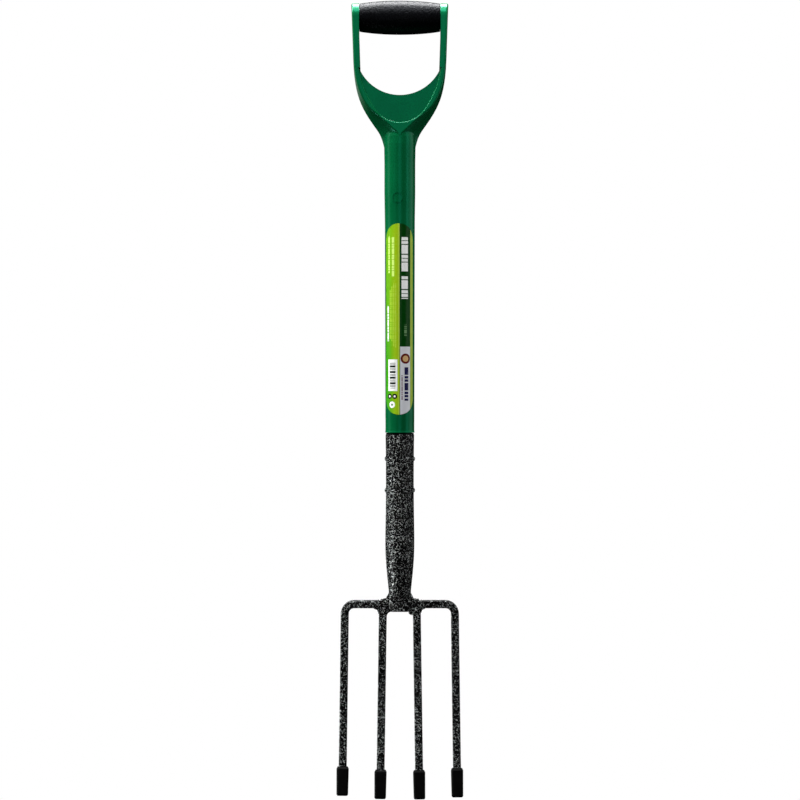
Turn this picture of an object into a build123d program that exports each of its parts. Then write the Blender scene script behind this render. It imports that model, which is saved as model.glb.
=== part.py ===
"""Border fork: a D-handled garden fork with four tines, as separate pieces.

Millimetres. The fork stands upright with its shaft along Z and its hand bar along X. The front, which the
tines curve towards, faces -Y. The origin is the middle of the hand bar, so heights below it are negative.
"""

from build123d import *
import math
import os

# --- handle moulding: hand bar, D yoke and shaft sleeve in one piece ------------------------------------
arm_inner_x = 48.0  # half width of the hand opening at the hand bar
hand_bar_r = 12.0
hand_bar_overlap = 2.0  # the bar runs this far into each arm
opening_straight_z = -20.0  # the arms' inner sides lean in below this height
opening_corner = (46.6, -62.7)  # half width and height where the saddle starts
saddle_low_z = -91.4  # lowest point of the saddle at the bottom of the hand opening
web_half = 3.0  # half thickness of the web below the saddle
rim_bottom_z = -123.8  # lowest point of the curved rim round the web
rim_low_end = (28.0, -109.0)  # half widths and heights along the rim
rim_side = (39.4, -88.4)
rim_high_end = (46.9, -62.0)
pocket_draft_deg = 5.0
parting_outline = [  # half width and height of the yoke's widest line, halfway between front and back
    (55.0, -50.0),
    (54.0, -66.0),
    (51.7, -82.0),
    (46.9, -99.0),
    (41.8, -110.0),
    (35.8, -120.0),
    (28.8, -130.0),
    (23.6, -138.0),
    (20.4, -146.0),
    (17.4, -158.0),
]
front_outline = [  # half width and height of the flat front band, down to its point on the sleeve
    (54.0, -50.0),
    (52.8, -66.0),
    (49.6, -82.0),
    (42.6, -99.0),
    (35.0, -109.5),
    (23.8, -118.3),
    (13.2, -127.7),
    (6.7, -133.6),
    (1.0, -141.0),
]
parting_top_x = 56.7  # half widths at the hand bar, where the arms are straight
front_top_x = 55.8
arm_end_r = 16.7
front_lean = 0.0118  # how much the yoke deepens at each face for each millimetre down
arm_edge_r = 2.0
sleeve_profile = [  # height, outer radius
    (-489.4, 17.3),
    (-488.2, 17.3),
    (-487.2, 17.0),
    (-470.0, 17.1),
    (-240.0, 17.7),
    (-207.0, 18.2),
    (-173.0, 18.2),
    (-150.0, 18.6),
    (-141.0, 18.3),
    (-134.0, 17.2),
    (-128.0, 15.4),
]
shoulder_blend_r = 2.0
rim_edge_r = 1.4
gate_z = -213.4
gate_turn_deg = -9.0  # the mark lies this far round from the front, towards -X
gate_r = 6.35
gate_line_width = 0.7
gate_height = 0.35

# --- shaft tube -----------------------------------------------------------------------------------------
tube_r = 14.3
tube_wall = 1.4
tube_top_z = -150.0
tube_bottom_z = -575.0
plug_length = 10.0

# --- grip -----------------------------------------------------------------------------------------------
grip_middle_r = 19.9
grip_end_r = 16.4
grip_half_length = 47.6
grip_end_slope = 0.16
grip_end_round_r = 1.2

# --- label ----------------------------------------------------------------------------------------------
label_half_width = 19.4  # along the curved surface
label_turn_deg = -3.4  # its middle lies this far round from the front, towards -X
label_top_z = -243.9
label_bottom_z = -468.1
label_thickness = 0.2
label_curve_r = 17.3  # the sleeve's radius halfway along the label

# --- socket ---------------------------------------------------------------------------------------------
socket_top_z = -489.8
socket_rim = [(-489.8, 15.9), (-490.3, 16.5), (-491.3, 16.5)]  # height, outer radius, above the profile
socket_profile = [  # height, outer radius
    (-492.2, 16.9),
    (-520.0, 16.5),
    (-551.3, 16.4),
    (-592.6, 16.8),
    (-622.1, 17.1),
    (-639.8, 16.5),
    (-663.4, 14.4),
    (-676.0, 13.1),
]
socket_bore_low_r = 13.4  # below the end of the shaft
socket_floor_z = -650.0
socket_drill_r = 3.0
socket_drill_height = 14.0
foot_width = 26.2
foot_depth = 18.4
foot_top_z = -676.0
foot_full_z = -686.0
foot_corner_r = 5.0
foot_taper_height = 6.0  # the cheeks narrow over this height to their toes
foot_toe_half = 9.6
foot_toe_chamfer = 1.6

# --- rivets ---------------------------------------------------------------------------------------------
rivet_heights = {"upper_rivet": -520.3, "lower_rivet": -557.4}
rivet_r = 2.4
rivet_head_r = 3.3
rivet_head_height = 1.5
rivet_seat_x = 15.2

# --- tine bars ------------------------------------------------------------------------------------------
crossbar_top_z = -687.2
crossbar_bottom_z = -696.4
weld_seat_depth = 0.5  # the crossbar is let down this far where the foot and its weld sit
weld_seat_half = 26.5
inner_bar_bottom_z = -700.4
bar_depth = 11.0
bar_edge_r = 1.8
tine_width = 9.3
tine_root_z = -706.0
outer_tine_x = 65.0
outer_splay_deg = 0.7
outer_corner_r = 16.0
outer_inside_r = 6.5
outer_tip_z = -906.0
inner_tine_x = 20.1
inner_splay_deg = 0.8
inner_inside_r = 6.0
inner_tip_z = -909.0
tine_forward = 14.0  # how far the tips lie in front of the crossbar
tine_end_depth = 7.8
point_length = 14.0
point_half = 1.3

# --- welds ----------------------------------------------------------------------------------------------
bead_sag = 0.37  # how far along each leg the middle of a bead's hollow face lies
neck_bead_height = 8.4
weld_lump_at = (13.4, -1.0, -702.0)
weld_lump_r = 3.2
neck_bead_half_depth = 3.9
bead_blunt = 0.5  # thickness of a bead at the ends of its legs
tine_bead_along = 5.2
tine_bead_down = 5.4
tine_bead_half_depth = 3.6

# --- tip caps -------------------------------------------------------------------------------------------
cap_length = 34.0
cap_width = 14.3
cap_depth = 12.6
cap_draft_deg = 0.7
cap_bevel_height = 2.6
cap_mouth_width = 11.9
cap_mouth_depth = 10.4
cap_mouth_corner_r = 2.0
cap_corner_r = 2.6
cap_bottom_round_r = 2.2
cap_clearance = 0.4
cap_pocket_depth = 28.0
cap_bottom_heights = {
    "tip_cap_left_outer": -915.4,
    "tip_cap_left_inner": -919.2,
    "tip_cap_right_inner": -919.6,
    "tip_cap_right_outer": -917.2,
}

beyond = 100.0  # more than any half width or depth, for cutting right through
front_plane = Plane.XZ  # its X is X, its Y is Z, and its normal is -Y
side_plane = Plane.YZ  # its X is Y, its Y is Z, and its normal is X


def revolve_profile(points):
    """A solid of revolution about Z from (height, radius) pairs."""
    outline = [(0, points[0][0])] + [(r, z) for z, r in points] + [(0, points[-1][0])]
    return revolve(front_plane * make_face(Polyline(*outline, close=True)), Axis.Z)


def sleeve_solid(extra=0.0):
    """The outside of the shaft sleeve, grown by extra."""
    return revolve_profile([(z, r + extra) for z, r in sleeve_profile])


def yoke_outline(top_x, points):
    """The face inside one of the yoke's outlines, drawn with X across and Y up."""
    high = arm_end_r + 1
    slope = (top_x - points[0][0]) / -points[0][1]
    top = (top_x + slope * high, high)
    side = Line(top, points[0]) + Spline(*points, tangents=[(-slope, -1), (-0.25, -1)])
    low = points[-1]
    ends = Line((-top[0], high), top) + Line((-low[0], low[1]), low)
    return make_face(side + mirror(side, Plane.YZ) + ends)


def yoke_solid():
    """The D yoke before the hand opening is cut, its sides sloping from the front band to the parting line."""
    leaning = Plane(origin=(0, -arm_end_r, 0), x_dir=(1, 0, 0), z_dir=(0, -1, front_lean))
    front = leaning * yoke_outline(front_top_x, front_outline)
    middle = front_plane * yoke_outline(parting_top_x, parting_outline)
    half = loft(Sketch() + [middle, front], ruled=True)
    low_z = parting_outline[-1][1]
    low_y = arm_end_r - front_lean * low_z
    arc = ThreePointArc((arm_end_r, 0), (0, arm_end_r), (-arm_end_r, 0))
    rest = Polyline((-arm_end_r, 0), (-low_y, low_z), (low_y, low_z), (arm_end_r, 0))
    half = half & extrude(side_plane * make_face(arc + rest), beyond, both=True)
    half = fillet([e for e in half.edges() if on_front_edge(e)], arm_edge_r)
    return half + mirror(half, Plane.XZ)


def on_front_edge(edge):
    """Whether an edge of the yoke's front half lies along the outside of the arms and the front band."""
    middle = edge.position_at(0.5)
    return middle.Y < -10 and abs(middle.X) > 20 and edge.length > 20


def hand_opening():
    """The hand opening, open at the top between the arm ends."""
    above = 2 * arm_end_r
    right = [opening_corner, (arm_inner_x, opening_straight_z), (arm_inner_x, above)]
    left = [(-x, z) for x, z in reversed(right)]
    saddle = ThreePointArc(left[-1], (0, saddle_low_z), right[0])
    return extrude(front_plane * make_face(Polyline(*right, *left) + saddle), beyond, both=True)


def web_pocket():
    """The recess in front of the web, between the saddle and the curved rim."""
    bottom = ThreePointArc((-rim_low_end[0], rim_low_end[1]), (0, rim_bottom_z), rim_low_end)
    right = ThreePointArc(rim_low_end, rim_side, rim_high_end)
    left = mirror(right, Plane.YZ)
    top = Line(rim_high_end, (-rim_high_end[0], rim_high_end[1]))
    face = front_plane.offset(web_half) * make_face(bottom + right + left + top)
    return extrude(face, 2 * arm_end_r, taper=-pocket_draft_deg)


def gate_mark():
    """The raised ring left by the moulding gate, on the front of the sleeve."""
    ring = Circle(gate_r) - Circle(gate_r - gate_line_width)
    prism = extrude(front_plane * Pos(0, gate_z) * ring, beyond)
    return Rot(0, 0, gate_turn_deg) * (prism & sleeve_solid(gate_height))


def handle_moulding():
    opening = hand_opening()
    pocket = web_pocket()
    body = yoke_solid() - opening + sleeve_solid()
    body = fillet(shoulder_edges_of(body), shoulder_blend_r)
    body = body - opening - pocket - mirror(pocket, Plane.XZ)
    body = fillet(rim_edges_of(body), rim_edge_r)
    body += Rot(0, 90, 0) * Cylinder(hand_bar_r, 2 * (arm_inner_x + hand_bar_overlap))
    body += gate_mark()
    bore_length = tube_top_z - sleeve_profile[0][0]
    bore = Pos(0, 0, sleeve_profile[0][0]) * Cylinder(
        tube_r, bore_length, align=(Align.CENTER, Align.CENTER, Align.MIN)
    )
    return body - bore


def shoulder_edges_of(body):
    """The four hollow corners where the top of the sleeve runs up into the yoke's sloping sides."""
    found = []
    for edge in body.edges():
        middle = edge.position_at(0.5)
        round_sleeve = edge.geom_type == GeomType.CIRCLE
        if -145 < middle.Z < -130 and 20 < edge.length < 25 and not round_sleeve:
            found.append(edge)
    return found


def rim_edges_of(body):
    """The outer edges of the curved rims, front and back."""
    found = []
    for edge in body.edges():
        middle = edge.position_at(0.5)
        on_rim = abs(middle.Y) > 14 and -126 < middle.Z < -64 and 20 < edge.length < 90
        if on_rim and abs(middle.X) < 42:
            found.append(edge)
    return found


def grip_sleeve():
    """A soft barrel round the hand bar, fuller in the middle, with rounded ends."""
    outline = Spline((-grip_half_length, grip_end_r), (0, grip_middle_r), (grip_half_length, grip_end_r),
                     tangents=[(1, grip_end_slope), (1, -grip_end_slope)])
    end = Polyline((grip_half_length, grip_end_r), (grip_half_length, hand_bar_r),
                   (-grip_half_length, hand_bar_r), (-grip_half_length, grip_end_r))
    barrel = revolve(front_plane * make_face(outline + end), Axis.X)
    rims = [e for e in barrel.edges() if abs(abs(e.center().X) - grip_half_length) < 0.1
            and e.length > 2 * math.pi * hand_bar_r + 1]
    return fillet(rims, grip_end_round_r)


def shaft_tube():
    length = tube_top_z - tube_bottom_z
    middle = (tube_top_z + tube_bottom_z) / 2
    tube = Cylinder(tube_r, length) - Cylinder(tube_r - tube_wall, length)
    return Pos(0, 0, middle) * tube - rivet_shanks()


def tube_plug():
    plug = Cylinder(tube_r - tube_wall, plug_length)
    return Pos(0, 0, tube_top_z - plug_length / 2) * plug


def rivet_shanks():
    """The two shanks, longer than the rivets, for cutting their holes."""
    shanks = [Pos(0, 0, z) * Rot(0, 90, 0) * Cylinder(rivet_r, beyond) for z in rivet_heights.values()]
    return shanks[0] + shanks[1]


def rivet(height, socket_part):
    """A rivet with a domed head at each side of the socket."""
    shank = Cylinder(rivet_r, 2 * rivet_seat_x)
    tip_x = socket_radius(height) + rivet_head_height
    dome_height = tip_x - rivet_seat_x
    dome_r = (rivet_head_r**2 + dome_height**2) / (2 * dome_height)
    ball = Pos(0, 0, tip_x - dome_r) * Sphere(dome_r)
    keep = Pos(0, 0, rivet_seat_x) * Cylinder(
        rivet_head_r, dome_height, align=(Align.CENTER, Align.CENTER, Align.MIN)
    )
    head = ball & keep
    both = shank + head + mirror(head, Plane.XY)
    return Pos(0, 0, height) * Rot(0, 90, 0) * both - socket_part


def socket_radius(height):
    """The socket's outer radius at a height, between the two profile rows that hold it."""
    for (z_high, r_high), (z_low, r_low) in zip(socket_profile, socket_profile[1:]):
        if z_low <= height <= z_high:
            share = (z_high - height) / (z_high - z_low)
            return r_high + share * (r_low - r_high)
    return socket_profile[-1][1]


def label():
    """A sticker with full-round ends, wrapped round the front of the sleeve."""
    turn = math.radians(label_turn_deg)
    end_r = label_half_width
    high = label_top_z - end_r
    low = label_bottom_z + end_r

    def seen_from_front(along, z):
        return (label_curve_r * math.sin(turn + along / label_curve_r), z)

    angles = [math.radians(step * 22.5) for step in range(9)]
    top = [seen_from_front(end_r * math.cos(a), high + end_r * math.sin(a)) for a in angles]
    bottom = [seen_from_front(-end_r * math.cos(a), low - end_r * math.sin(a)) for a in angles]
    outline = Spline(*top) + Line(top[-1], bottom[0]) + Spline(*bottom) + Line(bottom[-1], top[0])
    prism = extrude(front_plane * make_face(outline), beyond)
    return prism & (sleeve_solid(label_thickness) - sleeve_solid())


def socket():
    """The forged socket: open at the top for the shaft, solid at the neck, and forked over the crossbar."""
    rim = [(0, socket_top_z)] + [(r, z) for z, r in socket_rim + socket_profile[:1]]
    side = Spline(*[(r, z) for z, r in socket_profile])
    neck_r = socket_profile[-1][1]
    outline = Polyline(*rim) + side + Polyline((neck_r, foot_top_z), (0, foot_top_z), rim[0])
    body = revolve(front_plane * make_face(outline), Axis.Z)
    low_r = socket_bore_low_r
    bore = revolve_profile([(socket_top_z, tube_r), (tube_bottom_z, tube_r), (tube_bottom_z, low_r),
                            (socket_floor_z + socket_drill_height, low_r),
                            (socket_floor_z, socket_drill_r)])
    return body - bore + foot() - rivet_shanks()


def foot():
    """The neck's foot: round at the top, flattening to two cheeks that straddle the crossbar."""
    half = foot_width / 2
    nearly_round = half - 0.05
    round_top = Plane.XY.offset(foot_top_z) * RectangleRounded(foot_width, foot_width, nearly_round)
    flat = Plane.XY.offset(foot_full_z) * RectangleRounded(foot_width, foot_depth, foot_corner_r)
    shoulder = loft(Sketch() + [round_top, flat], ruled=True)
    cheeks = extrude(flat, inner_bar_bottom_z - foot_full_z)
    taper_z = inner_bar_bottom_z + foot_taper_height
    right = [(foot_toe_half, inner_bar_bottom_z), (half, taper_z), (half, foot_full_z)]
    left = [(-x, z) for x, z in reversed(right)]
    front_view = Polyline(*right, *left, close=True)
    cheeks = cheeks & extrude(front_plane * make_face(front_view), foot_depth, both=True)
    toe = cheeks.faces().sort_by(Axis.Z)[0]
    outer_edges = [e for e in toe.edges() if abs(e.center().Y) > bar_depth / 2]
    cheeks = chamfer(outer_edges, foot_toe_chamfer)
    seat_z = crossbar_top_z - weld_seat_depth
    slot = Box(beyond, bar_depth, beyond, align=(Align.CENTER, Align.CENTER, Align.MAX))
    return shoulder + cheeks - Pos(0, 0, seat_z) * slot


class Tine:
    """The middle line of a right-hand tine: straight but splayed from the front, curved from the side."""

    def __init__(self, root_x, splay_deg, tip_z):
        self.root_x = root_x
        self.slope = math.tan(math.radians(splay_deg))
        self.tip_z = tip_z
        self.shoulder_z = tip_z + point_length
        self.length = tine_root_z - tip_z

    def x(self, z):
        return self.root_x + self.slope * (tine_root_z - z)

    def y(self, z):
        return -tine_forward * ((tine_root_z - z) / self.length) ** 2

    def half_depth(self, z):
        share = (tine_root_z - z) / (tine_root_z - self.shoulder_z)
        return (bar_depth + share * (tine_end_depth - bar_depth)) / 2

    def end_direction(self):
        """The way down the tine where its point begins."""
        lean = 2 * tine_forward * (tine_root_z - self.shoulder_z) / self.length**2
        return Vector(self.slope, -lean, -1).normalized()


outer_tine = Tine(outer_tine_x, outer_splay_deg, outer_tip_z)
inner_tine = Tine(inner_tine_x, inner_splay_deg, inner_tip_z)


def tine_side_profile(tine):
    """The bars seen from the side: straight at the crossbar, then a gentle forward curve to a point."""
    middle_z = (tine_root_z + tine.shoulder_z) / 2
    back = [(tine.y(z) + tine.half_depth(z), z) for z in (tine_root_z, middle_z, tine.shoulder_z)]
    front = [(tine.y(z) - tine.half_depth(z), z) for z in (tine.shoulder_z, middle_z, tine_root_z)]
    half = bar_depth / 2
    head = Polyline(front[-1], (-half, crossbar_top_z), (half, crossbar_top_z), back[0])
    tip_y = tine.y(tine.tip_z)
    point = Polyline(back[-1], (tip_y + point_half, tine.tip_z), (tip_y - point_half, tine.tip_z), front[0])
    return make_face(head + ThreePointArc(*back) + point + ThreePointArc(*front))


def bar_front_outline(tine, top_z, bottom_z, outer_r, inside_r):
    """A bent bar seen from the front: a crossbar with a pointed tine down from each end."""
    half = tine_width / 2
    shoulder_z = tine.shoulder_z
    tip_z = tine.tip_z

    right = [
        (tine.x(top_z) + half, top_z),
        (tine.x(shoulder_z) + half, shoulder_z),
        (tine.x(tip_z) + point_half, tip_z),
        (tine.x(tip_z) - point_half, tip_z),
        (tine.x(shoulder_z) - half, shoulder_z),
        (tine.x(bottom_z) - half, bottom_z),
    ]
    left = [(-x, z) for x, z in reversed(right)]
    face = make_face(Polyline(*right, *left, close=True))
    inside = [v for v in face.vertices() if abs(v.Y - bottom_z) < 0.01]
    face = fillet(inside, inside_r)
    if outer_r:
        corners = [v for v in face.vertices() if abs(v.Y - top_z) < 0.01]
        face = fillet(corners, outer_r)
    return face


def bent_bar(tine, outline):
    """The solid with the outline from the front and the tine profile from the side, with eased edges."""
    front_view = extrude(front_plane * outline, beyond, both=True)
    side_view = extrude(side_plane * tine_side_profile(tine), beyond, both=True)
    bar = front_view & side_view
    corners = [
        e for e in bar.edges() if e.center().Z > tine.shoulder_z + 1 and abs(e.tangent_at(0.5).Y) < 0.7
    ]
    return fillet(corners, bar_edge_r)


def outer_tine_bar():
    outline = bar_front_outline(outer_tine, crossbar_top_z, crossbar_bottom_z, outer_corner_r,
                                outer_inside_r)
    seat = Box(2 * weld_seat_half, 2 * bar_depth, 2 * weld_seat_depth)
    return bent_bar(outer_tine, outline) - Pos(0, 0, crossbar_top_z) * seat


def inner_tine_bar():
    outline = bar_front_outline(inner_tine, crossbar_bottom_z, inner_bar_bottom_z, 0, inner_inside_r)
    return bent_bar(inner_tine, outline)


def concave_bead(corner, along_x, along_z, half_depth):
    """A weld fillet in a corner: it runs along_x sideways and along_z up or down, with a hollow face."""
    x, z = corner
    start = (x + along_x, z + math.copysign(bead_blunt, along_z))
    end = (x + bead_blunt, z + along_z)
    middle = (x + along_x * bead_sag, z + along_z * bead_sag)
    sides = Polyline(end, (x, z + along_z), corner, (x + along_x, z), start)
    face = make_face(sides + ThreePointArc(start, middle, end))
    return extrude(front_plane * face, half_depth, both=True)


def neck_weld():
    """The two weld fillets from the neck's foot out onto the crossbar."""
    corner = (foot_width / 2, crossbar_top_z - weld_seat_depth)
    along = weld_seat_half - corner[0] - 0.1
    bead = concave_bead(corner, along, neck_bead_height, neck_bead_half_depth)
    return bead + mirror(bead, Plane.YZ)


def left_tine_weld(inner_bar):
    return mirror(outside_bead(inner_bar), Plane.YZ)


def right_tine_weld(inner_bar):
    """The outside fillet, and a lump of weld metal left in the inside corner."""
    lump = Pos(*weld_lump_at) * Sphere(weld_lump_r)
    return outside_bead(inner_bar) + (lump - inner_bar)


def outside_bead(inner_bar):
    """The weld fillet between the right inner tine's outer side and the crossbar."""
    tine_side = inner_tine.x(crossbar_bottom_z) + tine_width / 2
    corner = (tine_side, crossbar_bottom_z)
    return concave_bead(corner, tine_bead_along, -tine_bead_down, tine_bead_half_depth) - inner_bar


def cap_path(tine, side, bottom_z):
    """A cap's mouth, and the way that it slides off. side is 1 at the right and -1 at the left."""
    down = tine.end_direction()
    start = Vector(tine.x(tine.shoulder_z), tine.y(tine.shoulder_z), tine.shoulder_z)
    bottom = start + down * ((start.Z - bottom_z) / -down.Z)
    mouth = bottom - down * cap_length
    return Vector(side * mouth.X, mouth.Y, mouth.Z), Vector(side * down.X, down.Y, down.Z)


def tip_cap(mouth, down, tine):
    """A blind rectangular cap with a bevelled mouth and rounded bottom, pushed up over a tine's point."""
    shrink = 2 * cap_length * math.tan(math.radians(cap_draft_deg))
    sections = [
        RectangleRounded(cap_mouth_width, cap_mouth_depth, cap_mouth_corner_r),
        Pos(0, 0, -cap_bevel_height) * RectangleRounded(cap_width, cap_depth, cap_corner_r),
        Pos(0, 0, -cap_length) * RectangleRounded(cap_width - shrink, cap_depth - shrink, cap_corner_r),
    ]
    body = loft(Sketch() + sections, ruled=True)
    body = fillet(body.faces().sort_by(Axis.Z)[0].edges(), cap_bottom_round_r)
    mouth_depth = 2 * tine.half_depth(mouth.Z)
    pocket = Box(tine_width + 2 * cap_clearance, mouth_depth + 2 * cap_clearance, cap_pocket_depth,
                 align=(Align.CENTER, Align.CENTER, Align.MAX))
    seat = Plane(origin=mouth, x_dir=(1, 0, 0), z_dir=-down)
    return seat.location * (body - pocket)


def all_parts():
    """Every piece by its node name."""
    socket_part = socket()
    inner_bar = inner_tine_bar()
    parts = {
        "handle_moulding": handle_moulding(),
        "grip_sleeve": grip_sleeve(),
        "shaft_tube": shaft_tube(),
        "tube_plug": tube_plug(),
        "label": label(),
        "socket": socket_part,
        "outer_tine_bar": outer_tine_bar(),
        "inner_tine_bar": inner_bar,
        "neck_weld": neck_weld(),
        "left_tine_weld": left_tine_weld(inner_bar),
        "right_tine_weld": right_tine_weld(inner_bar),
    }
    for name, height in rivet_heights.items():
        parts[name] = rivet(height, socket_part)
    for name, bottom_z in cap_bottom_heights.items():
        tine = outer_tine if "outer" in name else inner_tine
        side = -1 if "left" in name else 1
        mouth, down = cap_path(tine, side, bottom_z)
        parts[name] = tip_cap(mouth, down, tine)
        print(name, "slides off along", [round(v, 5) for v in (down.X, down.Y, down.Z)])
    return parts


def main():
    os.makedirs("parts", exist_ok=True)
    for name, solid in all_parts().items():
        export_step(solid, f"parts/{name}.step")


if __name__ == "__main__":
    main()
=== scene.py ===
"""Looks of the border fork: materials, weld beads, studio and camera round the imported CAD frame.

Metres, in the CAD frame: the shaft runs along Z, the hand bar along X, and the front faces -Y.
"""

import math
import random

import bmesh
import bpy
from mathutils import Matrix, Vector

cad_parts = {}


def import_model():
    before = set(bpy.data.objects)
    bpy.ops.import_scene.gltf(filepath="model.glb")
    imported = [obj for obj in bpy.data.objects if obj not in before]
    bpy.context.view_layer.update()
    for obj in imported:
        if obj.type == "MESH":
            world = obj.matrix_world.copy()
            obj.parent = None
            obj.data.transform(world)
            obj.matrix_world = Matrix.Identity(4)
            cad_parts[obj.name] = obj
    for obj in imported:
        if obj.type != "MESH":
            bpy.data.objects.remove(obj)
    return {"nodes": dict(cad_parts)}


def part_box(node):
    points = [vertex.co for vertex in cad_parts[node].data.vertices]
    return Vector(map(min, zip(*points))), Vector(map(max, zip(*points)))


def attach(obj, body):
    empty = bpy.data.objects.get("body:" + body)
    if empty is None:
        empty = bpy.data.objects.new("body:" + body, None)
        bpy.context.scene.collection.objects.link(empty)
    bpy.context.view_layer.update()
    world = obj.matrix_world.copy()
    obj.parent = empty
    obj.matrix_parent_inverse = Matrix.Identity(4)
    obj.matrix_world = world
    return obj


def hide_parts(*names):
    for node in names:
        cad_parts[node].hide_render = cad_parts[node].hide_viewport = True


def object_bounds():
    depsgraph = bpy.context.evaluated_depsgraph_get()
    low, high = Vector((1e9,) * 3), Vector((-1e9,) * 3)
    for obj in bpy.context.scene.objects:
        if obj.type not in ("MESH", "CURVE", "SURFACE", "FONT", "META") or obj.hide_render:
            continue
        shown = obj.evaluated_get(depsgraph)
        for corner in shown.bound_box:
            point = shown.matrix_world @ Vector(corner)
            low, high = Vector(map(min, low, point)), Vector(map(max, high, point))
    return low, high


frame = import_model()
cad_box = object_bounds()

MM = 0.001


def srgb(red, green, blue):
    """A colour given as it looks on screen, 0 to 255, as the linear colour that a shader takes."""
    def linear(value):
        value /= 255
        return value / 12.92 if value <= 0.04045 else ((value + 0.055) / 1.055) ** 2.4
    return (linear(red), linear(green), linear(blue), 1.0)


# --- shader nodes ---------------------------------------------------------------------------------------
class Shader:
    """A material on one Principled BSDF, with short calls for the nodes that feed it."""

    def __init__(self, name, **constants):
        self.material = bpy.data.materials.new(name)
        self.material.use_nodes = True
        self.tree = self.material.node_tree
        self.bsdf = self.tree.nodes["Principled BSDF"]
        self.place = self.node("ShaderNodeTexCoord").outputs["Object"]
        for socket, value in constants.items():
            self.set(socket, value)

    def node(self, kind, **settings):
        made = self.tree.nodes.new(kind)
        for key, value in settings.items():
            setattr(made, key, value)
        return made

    def feed(self, socket, value):
        """Links value into the socket if it is an output, and sets it if it is a number or colour."""
        if isinstance(value, bpy.types.NodeSocket):
            self.tree.links.new(value, socket)
        else:
            socket.default_value = value

    def set(self, socket, value):
        """Feeds one of the Principled BSDF's inputs. Underscores stand for spaces."""
        self.feed(self.bsdf.inputs[socket.replace("_", " ")], value)

    def math(self, operation, *values):
        made = self.node("ShaderNodeMath", operation=operation)
        for socket, value in zip(made.inputs, values):
            self.feed(socket, value)
        return made.outputs[0]

    def axes(self):
        made = self.node("ShaderNodeSeparateXYZ")
        self.feed(made.inputs[0], self.place)
        return made.outputs

    def stretched(self, scale):
        """The object coordinates, scaled by three numbers."""
        made = self.node("ShaderNodeVectorMath", operation="MULTIPLY")
        self.feed(made.inputs[0], self.place)
        made.inputs[1].default_value = scale
        return made.outputs[0]

    def noise(self, size, detail=2.0, roughness=0.5, distortion=0.0, place=None):
        """Noise from 0 to 1 with features of about the given size in metres."""
        made = self.node("ShaderNodeTexNoise")
        self.feed(made.inputs["Vector"], place or self.place)
        for name, value in (("Scale", 1 / size), ("Detail", detail), ("Roughness", roughness),
                            ("Distortion", distortion)):
            made.inputs[name].default_value = value
        return made.outputs["Fac"]

    def cells(self, size, smoothness):
        """Distance to the middle of the nearest cell, for rounded cells of about the given size."""
        made = self.node("ShaderNodeTexVoronoi", feature="SMOOTH_F1")
        self.feed(made.inputs["Vector"], self.place)
        made.inputs["Scale"].default_value = 1 / size
        made.inputs["Smoothness"].default_value = smoothness
        return made.outputs["Distance"]

    def ramp(self, value, low, high, at_low=0.0, at_high=1.0):
        """A smooth step: at_low up to low, and at_high from high on."""
        made = self.node("ShaderNodeMapRange", interpolation_type="SMOOTHSTEP")
        for socket, number in zip(made.inputs, (value, low, high, at_low, at_high)):
            self.feed(socket, number)
        return made.outputs["Result"]

    def mix(self, share, low, high):
        """From colour low, where share is 0, to colour high, where it is 1."""
        made = self.node("ShaderNodeMix", data_type="RGBA")
        for socket, value in zip((made.inputs[0], made.inputs[6], made.inputs[7]), (share, low, high)):
            self.feed(socket, value)
        return made.outputs[2]

    def bump(self, height, depth, under=None):
        """A bumped normal: height from 0 to 1 stands for depth metres."""
        made = self.node("ShaderNodeBump")
        made.inputs["Distance"].default_value = depth
        self.feed(made.inputs["Height"], height)
        if under is not None:
            self.feed(made.inputs["Normal"], under)
        return made.outputs["Normal"]


# --- materials ------------------------------------------------------------------------------------------
SOCKET_RIM_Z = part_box("socket")[1].z
RIM_BAND_LOW = SOCKET_RIM_Z - 2.0 * MM  # the plain band round the rim fades in between these heights
RIM_BAND_HIGH = SOCKET_RIM_Z - 1.5 * MM
TUBE_DARKENED_LOW = SOCKET_RIM_Z + 4 * MM  # the tube is darker below these heights, and fades back to plain steel between them
TUBE_DARKENED_HIGH = SOCKET_RIM_Z + 5 * MM
LENGTHWISE_SCUFFS = (1, 1, 0.12)  # how much each axis is squeezed, so that marks run along Z
LENGTHWISE_MARKS = (1, 1, 0.02)
GREEN_DEEP = (0.0005, 0.094, 0.028, 1)
GREEN_FULL = (0.0008, 0.110, 0.033, 1)
GREEN_SHEEN = (0.05, 1.0, 0.66, 1.0)
RUBBER_DEEP = (0.0008, 0.0009, 0.0012, 1)
RUBBER_WORN = (0.0016, 0.0018, 0.0024, 1)
RUBBER_SHEEN = (0.86, 0.91, 1.0, 1.0)
COAT_BLACK = (0.0016, 0.0017, 0.0019, 1)
COAT_SILVER = (0.62, 0.66, 0.65, 1)
CAP_DEEP = (0.0005, 0.0005, 0.0006, 1)
CAP_FULL = (0.0013, 0.0013, 0.0014, 1)
PLUG_DEEP = (0.006, 0.006, 0.006, 1)
PLUG_FULL = (0.014, 0.014, 0.014, 1)
STEEL_OILED = (0.30, 0.29, 0.28, 1)
STEEL_CLEAN = (0.44, 0.43, 0.42, 1)
TUBE_NEAR_RIM_DARK = (0.004, 0.004, 0.004, 1)


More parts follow.
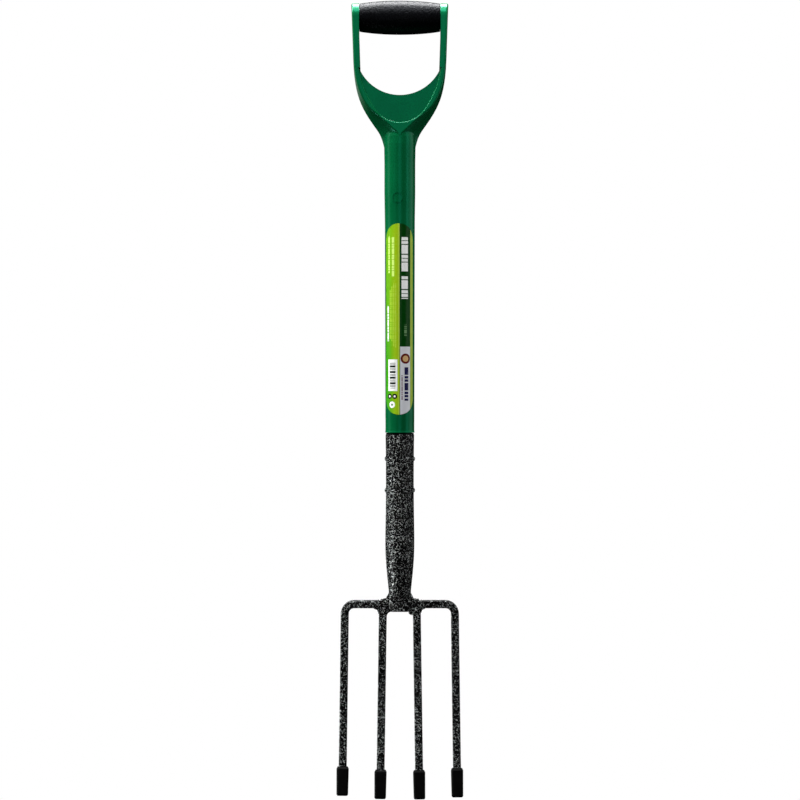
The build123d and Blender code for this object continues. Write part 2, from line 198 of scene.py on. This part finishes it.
def green_plastic():
    """Glossy green moulded polypropylene with slow colour drift, a faint orange peel and fine scuffs."""
    s = Shader("green_plastic", Specular_IOR_Level=0.42, Specular_Tint=GREEN_SHEEN)
    drift = s.ramp(s.noise(45 * MM, detail=3.0), 0.3, 0.7)
    s.set("Base_Color", s.mix(drift, GREEN_DEEP, GREEN_FULL))
    peel = s.noise(2.2 * MM)
    grain = s.noise(0.35 * MM)
    scratches = s.noise(1.2 * MM, detail=3.0, roughness=0.6, place=s.stretched(LENGTHWISE_SCUFFS))
    scuffs = s.ramp(scratches, 0.62, 0.78)
    polish = s.ramp(s.noise(14 * MM, detail=3.0), 0.3, 0.7, at_low=0.21, at_high=0.27)
    s.set("Roughness", s.math("MULTIPLY_ADD", scuffs, 0.10, polish))
    s.set("Normal", s.bump(grain, 0.003 * MM, under=s.bump(peel, 0.015 * MM)))
    return s.material


def grip_rubber():
    """Soft black rubber with a leathery grain."""
    s = Shader("grip_rubber", Specular_IOR_Level=0.07, Specular_Tint=RUBBER_SHEEN)
    grain = s.cells(1.5 * MM, smoothness=0.4)
    coarse = s.noise(3.2 * MM, detail=3.0, roughness=0.6)
    fine = s.noise(0.5 * MM)
    pebbles = s.math("MULTIPLY_ADD", grain, -0.8, s.math("MULTIPLY", fine, 0.25))
    height = s.math("MULTIPLY_ADD", coarse, 0.9, pebbles)
    worn = s.ramp(s.noise(22 * MM, detail=3.0), 0.35, 0.7)
    s.set("Base_Color", s.mix(worn, RUBBER_DEEP, RUBBER_WORN))
    s.set("Roughness", s.ramp(coarse, 0.3, 0.7, at_low=0.20, at_high=0.32))
    s.set("Normal", s.bump(height, 0.38 * MM))
    return s.material


def hammertone_steel():
    """Black hammered enamel: fine silver worm-shaped veins standing between black hollows."""
    s = Shader("hammertone_steel", Specular_IOR_Level=0.06)
    field = s.noise(2.5 * MM, detail=0.5, distortion=0.4)
    off_level = s.math("ABSOLUTE", s.math("SUBTRACT", field, 0.5))
    line = s.ramp(off_level, 0.014, 0.055, at_low=1.0, at_high=0.0)
    breaks = s.ramp(s.noise(2.0 * MM, detail=1.0), 0.42, 0.54)
    # a plain dark band without veins round the socket's rim
    below_rim = s.ramp(s.axes()[2], RIM_BAND_LOW, RIM_BAND_HIGH, at_low=1.0, at_high=0.0)
    vein = s.math("MULTIPLY", s.math("MULTIPLY", line, breaks), below_rim)
    flakes = s.ramp(s.noise(0.5 * MM), 0.35, 0.7, at_low=0.7, at_high=1.0)
    shade = s.math("MULTIPLY", vein, flakes)
    s.set("Base_Color", s.mix(shade, COAT_BLACK, COAT_SILVER))
    s.set("Metallic", s.math("MULTIPLY", vein, 0.9))
    s.set("Roughness", s.ramp(vein, 0.0, 1.0, at_low=0.24, at_high=0.30))
    s.set("Normal", s.bump(vein, 0.30 * MM))
    return s.material


def cap_plastic():
    """Matt black moulded polythene."""
    s = Shader("cap_plastic", Specular_IOR_Level=0.08)
    drift = s.noise(9 * MM, detail=3.0)
    s.set("Base_Color", s.mix(drift, CAP_DEEP, CAP_FULL))
    s.set("Roughness", s.ramp(drift, 0.3, 0.7, at_low=0.42, at_high=0.55))
    s.set("Normal", s.bump(s.noise(0.6 * MM, detail=3.0), 0.05 * MM))
    return s.material


def plug_plastic():
    """Plain black plastic for the plug in the tube's top."""
    s = Shader("plug_plastic")
    drift = s.noise(5 * MM, detail=3.0)
    s.set("Base_Color", s.mix(drift, PLUG_DEEP, PLUG_FULL))
    s.set("Roughness", s.ramp(drift, 0.3, 0.7, at_low=0.45, at_high=0.6))
    s.set("Normal", s.bump(s.noise(0.7 * MM), 0.04 * MM))
    return s.material


def bare_steel():
    """Drawn steel tube with draw marks, a dull oil film, and a darker band near the socket's rim."""
    s = Shader("bare_steel", Metallic=1.0)
    marks = s.noise(0.8 * MM, detail=3.0, roughness=0.6, place=s.stretched(LENGTHWISE_MARKS))
    film = s.noise(16 * MM, detail=4.0)
    steel = s.mix(film, STEEL_OILED, STEEL_CLEAN)
    # the tube is darker from the socket's rim up to a few millimetres above it
    near_rim_dark = s.ramp(s.axes()[2], TUBE_DARKENED_LOW, TUBE_DARKENED_HIGH, at_low=1.0, at_high=0.0)
    s.set("Base_Color", s.mix(near_rim_dark, steel, TUBE_NEAR_RIM_DARK))
    s.set("Roughness", s.ramp(marks, 0.3, 0.7, at_low=0.28, at_high=0.44))
    s.set("Normal", s.bump(marks, 0.02 * MM))
    return s.material


# --- label print ----------------------------------------------------------------------------------------
LABEL_TURN = math.radians(-3.4)  # the label's middle, round from the front towards -X
LABEL_R = 17.3 * MM
LIME_LEFT = srgb(56, 140, 22)
LIME_RIGHT = srgb(158, 194, 24)
LIME_TOP = srgb(132, 190, 12)
LIME_FOOT = srgb(66, 166, 26)
LIME_EDGE = srgb(158, 186, 62)
LIME_PALE = srgb(176, 208, 62)
LIME_TEXT = srgb(206, 240, 120)
WHITE = srgb(252, 254, 252)
NAVY = srgb(16, 16, 72)
PANEL_GREY = srgb(222, 224, 230)
PRINT_GREEN = srgb(1, 60, 6)
INK = srgb(24, 28, 24)
MAROON = srgb(96, 14, 10)
SAND = srgb(214, 176, 120)
SAGE = srgb(104, 142, 96)
MAUVE = srgb(140, 118, 132)
RING_GREEN = srgb(40, 120, 24)
TITLE_BARS = [(15.0, 56.5), (61.6, 88.5)]  # start and end, down
SMALL_PRINT = [  # across, down, for lines of small print down the lime side
    ((-8.6, -5.6), (16, 62)),
    ((-13.9, -11.4), (15, 58)),
]
FAINT_PRINT = [
    ((-4.4, -3.2), (70, 146)),
    ((-6.8, -5.6), (70, 144)),
    ((-9.2, -8.0), (74, 138)),
    ((-11.6, -10.4), (78, 136)),
]
PANEL_DISC = (7.9, 158.6)  # middles of the round marks, across and down
SMALL_DISCS = [(-12.0, 202.8), (-5.2, 202.8)]
RING = (-8.6, 212.6)


class LabelPrint(Shader):
    """The label's print, laid out in millimetres: across from its middle line and down from its top."""

    def __init__(self, name, top, **constants):
        super().__init__(name, **constants)
        x, y, z = self.axes()
        angle = self.math("ARCTAN2", x, self.math("MULTIPLY", y, -1.0))
        self.across = self.math("MULTIPLY", self.math("SUBTRACT", angle, LABEL_TURN), LABEL_R / MM)
        self.down = self.math("DIVIDE", self.math("SUBTRACT", top, z), MM)
        flat = self.node("ShaderNodeCombineXYZ")
        self.feed(flat.inputs[0], self.across)
        self.feed(flat.inputs[1], self.down)
        self.flat = flat.outputs[0]
        self.colour = None

    def paint(self, mask, colour):
        self.colour = self.mix(mask, self.colour, colour)

    def between(self, value, low, high):
        return self.math("COMPARE", value, (low + high) / 2, (high - low) / 2)

    def box(self, across, down):
        return self.math("MULTIPLY", self.between(self.across, *across), self.between(self.down, *down))

    def disc(self, middle, radius):
        apart = self.node("ShaderNodeVectorMath", operation="DISTANCE")
        self.feed(apart.inputs[0], self.flat)
        apart.inputs[1].default_value = (*middle, 0)
        return self.math("LESS_THAN", apart.outputs["Value"], radius)

    def dashes(self, across, down, pitch, share):
        """A column of dashes of uneven length inside a box, which cover a share of each pitch."""
        wave = self.math("SINE", self.math("MULTIPLY", self.down, 2.1 / pitch))
        wobble = self.math("MULTIPLY", wave, 0.35)
        place = self.math("ADD", self.math("DIVIDE", self.down, pitch), wobble)
        dash = self.math("LESS_THAN", self.math("FRACT", place), share)
        return self.math("MULTIPLY", self.box(across, down), dash)


def printed_vinyl():
    """A glossy sticker printed with plain panels, bars and discs only."""
    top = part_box("label")[1].z
    s = LabelPrint("printed_vinyl", top, Specular_IOR_Level=0.14)
    lime = s.mix(s.ramp(s.across, -16.5, -2.0), LIME_LEFT, LIME_RIGHT)
    fade = s.mix(s.ramp(s.down, 20, 190), LIME_TOP, LIME_FOOT)
    s.colour = s.mix(s.ramp(s.across, -14.0, -2.0, 0.45, 0.95), fade, lime)
    s.paint(s.between(s.across, 0.6, 30), PRINT_GREEN)
    s.paint(s.between(s.across, -1.0, 0.7), LIME_PALE)
    s.paint(s.box((1.4, 14.2), (144.5, 240)), PANEL_GREY)
    s.paint(s.box((14.2, 20.0), (7.0, 219)), LIME_EDGE)
    for down in TITLE_BARS:
        s.paint(s.dashes((3.0, 10.8), down, 6.9, 0.80), WHITE)
    s.paint(s.dashes((6.2, 9.4), (118.5, 132.5), 3.4, 0.62), SAGE)
    # a plain disc and bars on the grey panel
    s.paint(s.disc(PANEL_DISC, 6.0), MAROON)
    s.paint(s.disc(PANEL_DISC, 3.6), SAND)
    s.paint(s.dashes((6.6, 11.6), (167.5, 208.0), 6.1, 0.78), NAVY)
    s.paint(s.dashes((2.9, 4.4), (178.0, 207.0), 3.7, 0.8), MAUVE)
    for across, down in SMALL_PRINT:
        s.paint(s.dashes(across, down, 4.4, 0.82), LIME_TEXT)
    for across, down in FAINT_PRINT:
        s.paint(s.dashes(across, down, 3.3, 0.78), LIME_PALE)
    s.paint(s.dashes((-15.6, -13.4), (97, 138), 5.2, 0.84), WHITE)
    # a white patch with bars, two small discs and a ring
    s.paint(s.box((-14.2, -1.8), (159.5, 196.5)), WHITE)
    s.paint(s.dashes((-12.0, -4.0), (162.5, 193.5), 2.2, 0.5), INK)
    for middle in SMALL_DISCS:
        s.paint(s.disc(middle, 3.1), INK)
        s.paint(s.disc(middle, 1.3), WHITE)
    s.paint(s.disc(RING, 3.8), WHITE)
    s.paint(s.disc(RING, 1.3), RING_GREEN)
    s.set("Base_Color", s.colour)
    s.set("Roughness", s.ramp(s.noise(11 * MM, detail=3.0), 0.3, 0.7, at_low=0.24, at_high=0.31))
    s.set("Normal", s.bump(s.noise(4.5 * MM), 0.05 * MM))
    return s.material


MAKERS = {
    "green_plastic": green_plastic,
    "grip_rubber": grip_rubber,
    "printed_vinyl": printed_vinyl,
    "bare_steel": bare_steel,
    "plug_plastic": plug_plastic,
    "hammertone_steel": hammertone_steel,
    "cap_plastic": cap_plastic,
}


def finish_frame():
    """Gives every CAD node the full material for its record slot."""
    made = {}
    for node in frame["nodes"].values():
        for holder in node.material_slots:
            slot = holder.material.name
            if slot not in made:
                holder.material.name = slot + "_plain"  # frees the name; other nodes share this material
                made[slot + "_plain"] = made[slot] = MAKERS[slot]()
            holder.material = made[slot]


# --- weld beads -----------------------------------------------------------------------------------------
WELD_SKIN = 0.4 * MM
SKIN_SMOOTHING = 3
BALL_DETAIL = 2
ROW_PITCH = 1.5 * MM
CORNER_STEPS = 9
CORNER_HOLLOW = 0.5  # how far a corner bead's face sinks in at its middle
BALL_R = 1.1  # millimetres, as is the swell
BALL_SWELL = 0.9
INNER_BALL_GROWTH = 1.15
FOOT_HALF = 13.1 * MM  # half width of the socket's foot
NECK_BEAD_INSET = 0.4 * MM
TINE_BEAD_LEG = 5.2 * MM  # reach along the crossbar of the CAD's own bead, measured from the tine
CROSSBAR_HEIGHT = 9.2 * MM
LEFT_BEAD_REACH = (-6.4 * MM, -6.8 * MM)  # along the crossbar, and down the tine
RIGHT_BEAD_REACH = (5.2 * MM, -5.4 * MM)
LUMP_AT = Vector((13.4, -1.0, -702.0)) * MM
LUMP_BALLS = 9
LUMP_BALL_R = (1.9, 2.5)  # smallest and largest, millimetres
SEAM_HALF = 24.0  # the seam's sizes are in millimetres
SEAM_DEPTH = 4.0
SEAM_BALLS = 60
SEAM_BALL_R = (1.45, 1.65)
SEAM_JITTER = 0.15


def weld(name, balls, *stands_for):
    """A bead of weld metal: one skin round overlapping balls, given as (place, radius)."""
    bm = bmesh.new()
    for place, radius in balls:
        made = bmesh.ops.create_icosphere(bm, subdivisions=BALL_DETAIL, radius=radius)
        bmesh.ops.translate(bm, vec=place, verts=made["verts"])
    mesh = bpy.data.meshes.new(name)
    bm.to_mesh(mesh)
    bm.free()
    piece = bpy.data.objects.new(name, mesh)
    bpy.context.scene.collection.objects.link(piece)
    skin = piece.modifiers.new("skin", "REMESH")
    skin.mode = "VOXEL"
    skin.voxel_size = WELD_SKIN
    skin.use_smooth_shade = True
    soften = piece.modifiers.new("soften", "SMOOTH")
    soften.iterations = SKIN_SMOOTHING
    mesh.materials.append(frame["nodes"]["socket"].material_slots[0].material)
    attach(piece, "fork")
    if stands_for:
        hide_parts(*stands_for)


def corner_balls(chance, corner, along_x, along_z, half_depth):
    """Balls that fill a corner up to a slightly hollow face, in ripples from front to back."""
    x, z = corner
    rows = max(3, round(2 * half_depth / ROW_PITCH))
    balls = []
    for row in range(rows + 1):
        y = half_depth * (2 * row / rows - 1)
        for step in range(CORNER_STEPS + 1):
            share = step / CORNER_STEPS
            swell = math.sin(math.pi * share)
            hollow = 1 - CORNER_HOLLOW * swell
            radius = (BALL_R + BALL_SWELL * swell) * MM * chance.uniform(0.9, 1.1)
            face_x = along_x * (1 - share) * hollow
            face_z = along_z * share * hollow
            back = max(0.0, 1 - radius / math.hypot(face_x, face_z))
            shifted_y = y + chance.uniform(-0.3, 0.3) * MM
            balls.append((Vector((x + face_x * back, shifted_y, z + face_z * back)), radius))
            inner = Vector((x + face_x * back / 2, y, z + face_z * back / 2))
            balls.append((inner, radius * INNER_BALL_GROWTH))
    return balls


def neck_balls(chance):
    low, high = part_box("neck_weld")
    balls = []
    for side in (-1, 1):
        balls += corner_balls(chance, (side * FOOT_HALF, low.z), side * (high.x - FOOT_HALF),
                              high.z - low.z, high.y - NECK_BEAD_INSET)
    return balls


def lump_balls(chance):
    balls = []
    for _ in range(LUMP_BALLS):
        shift = Vector([chance.uniform(-1, 1) * MM for _ in range(3)])
        balls.append((LUMP_AT + shift, chance.uniform(*LUMP_BALL_R) * MM))
    return balls


def seam_balls(chance, height):
    """A thin bead on the front and back of the seam between the two tine bars."""
    balls = []
    for face in (-1, 1):
        for step in range(SEAM_BALLS):
            x = (-SEAM_HALF + 2 * SEAM_HALF * step / (SEAM_BALLS - 1)) * MM
            z = height + chance.uniform(-SEAM_JITTER, SEAM_JITTER) * MM
            balls.append((Vector((x, face * SEAM_DEPTH * MM, z)), chance.uniform(*SEAM_BALL_R) * MM))
    return balls


def welds():
    """The welds of the neck, the crossbar and the inner tines, and the seam between the two bars."""
    chance = random.Random(7)
    weld("neck_weld_bead", neck_balls(chance), "neck_weld")

    tine_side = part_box("right_tine_weld")[1].x - TINE_BEAD_LEG
    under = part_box("outer_tine_bar")[1].z - CROSSBAR_HEIGHT
    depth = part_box("left_tine_weld")[1].y
    left = corner_balls(chance, (-tine_side, under), *LEFT_BEAD_REACH, depth)
    weld("left_tine_weld_bead", left, "left_tine_weld")
    right = corner_balls(chance, (tine_side, under), *RIGHT_BEAD_REACH, depth)
    weld("right_tine_weld_bead", right + lump_balls(chance), "right_tine_weld")
    weld("seam_weld_bead", seam_balls(chance, under))


# --- studio ---------------------------------------------------------------------------------------------
CAMERA_DISTANCE = 2.70
VIEW_WIDTH = 0.944  # at the fork
VIEW_MIDDLE = -0.451
VIEW_ACROSS = 0.0002
SENSOR_WIDTH = 36
FLOOR_DROP = 0.060  # below the lowest cap: the caps stay in sight when they are pulled off
FLOOR_RADIUS = 11.9
DOME_RADIUS = 12.0
WORLD_COLOUR = (0.004, 0.004, 0.004, 1)
BOX_DISTANCE = 1.6
BOX_LOW = -0.60  # heights of the upright boxes' ends: nothing lights the fork from below
BOX_HIGH = 1.0
UPRIGHT_BOXES = [  # name, azimuth, width, brightness
    ("left_box", -92, 0.50, 1.0),
    ("left_front_box", -40, 0.56, 0.27),
    ("front_box", 0, 0.56, 1.0),
    ("right_front_box", 60, 0.56, 1.4),
    ("right_box", 95, 1.1, 0.95),
    ("back_left_box", -160, 0.56, 0.25),
]
HIGH_BOXES = [  # name, place, aim, width, depth, brightness
    ("top_box", (0, 0.42, 1.4), (0, 0, 0), 1.5, 1.15, 27.0),
    ("top_front_box", (0, -0.75, 1.3), (0, 0, -0.25), 1.2, 0.8, 9.0),
    ("top_left_box", (-1.1, 0, 1.1), (0, 0, -0.1), 0.8, 1.0, 24.0),
    ("head_left_box", (-0.58, -0.14, -0.84), (0, 0, -0.84), 0.28, 0.30, 9.0),
    ("head_right_box", (0.60, 0.0, -0.82), (0, 0, -0.82), 0.30, 0.36, 0.8),
]


def glow(name):
    """A plain white glow that looks the same from everywhere."""
    s = Shader(name, Base_Color=(0, 0, 0, 1), Specular_IOR_Level=0.0, Roughness=1.0)
    s.set("Emission_Color", (1.0, 1.0, 1.0, 1.0))
    s.set("Emission_Strength", 1.0)
    return s.material


def seen_by_camera_only(obj):
    for ray in ("diffuse", "glossy", "transmission", "volume_scatter", "shadow"):
        setattr(obj, "visible_" + ray, False)


def backdrop():
    """A white floor below the tine caps, with a white dome over it."""
    floor_z = cad_box[0].z - FLOOR_DROP
    for name, is_dome in (("studio_floor", False), ("studio_dome", True)):
        bm = bmesh.new()
        if is_dome:
            bmesh.ops.create_icosphere(bm, subdivisions=5, radius=DOME_RADIUS)
        else:
            bmesh.ops.create_circle(bm, cap_ends=True, segments=96, radius=FLOOR_RADIUS)
        mesh = bpy.data.meshes.new(name)
        bm.to_mesh(mesh)
        bm.free()
        obj = bpy.data.objects.new(name, mesh)
        bpy.context.scene.collection.objects.link(obj)
        obj.location = (0, 0, 0 if is_dome else floor_z)
        mesh.materials.append(glow(name))
        seen_by_camera_only(obj)


def softbox(name, place, aim, width, height, brightness):
    """A rectangular light at place, facing aim, that is as bright as a white card lit to brightness."""
    lamp = bpy.data.lights.new(name, "AREA")
    lamp.shape = "RECTANGLE"
    lamp.size = width
    lamp.size_y = height
    lamp.energy = math.pi * width * height * brightness
    obj = bpy.data.objects.new(name, lamp)
    obj.location = place
    obj.rotation_mode = "QUATERNION"
    obj.rotation_quaternion = (Vector(aim) - Vector(place)).to_track_quat("-Z", "Y")
    obj.visible_camera = False
    bpy.context.scene.collection.objects.link(obj)


def upright_box(name, azimuth, width, brightness):
    """A tall softbox beside the fork, at degrees round from the camera's side, plus towards +X."""
    turn = math.radians(azimuth)
    middle = Vector((0, 0, (BOX_LOW + BOX_HIGH) / 2))
    place = middle + Vector((math.sin(turn), -math.cos(turn), 0)) * BOX_DISTANCE
    softbox(name, place, middle, width, BOX_HIGH - BOX_LOW, brightness)


def lights():
    for row in UPRIGHT_BOXES:
        upright_box(*row)
    for row in HIGH_BOXES:
        softbox(*row)


def world():
    made = bpy.data.worlds.new("studio")
    made.use_nodes = True
    made.node_tree.nodes["Background"].inputs["Color"].default_value = WORLD_COLOUR
    bpy.context.scene.world = made


def camera():
    data = bpy.data.cameras.new("camera")
    data.sensor_width = SENSOR_WIDTH
    data.lens = data.sensor_width * CAMERA_DISTANCE / VIEW_WIDTH
    obj = bpy.data.objects.new("camera", data)
    obj.location = (VIEW_ACROSS, -CAMERA_DISTANCE, VIEW_MIDDLE)
    obj.rotation_euler = (math.radians(90), 0, 0)
    bpy.context.scene.collection.objects.link(obj)
    bpy.context.scene.camera = obj


finish_frame()
welds()
backdrop()
lights()
world()
camera()
bpy.context.scene.view_settings.view_transform = "Standard"
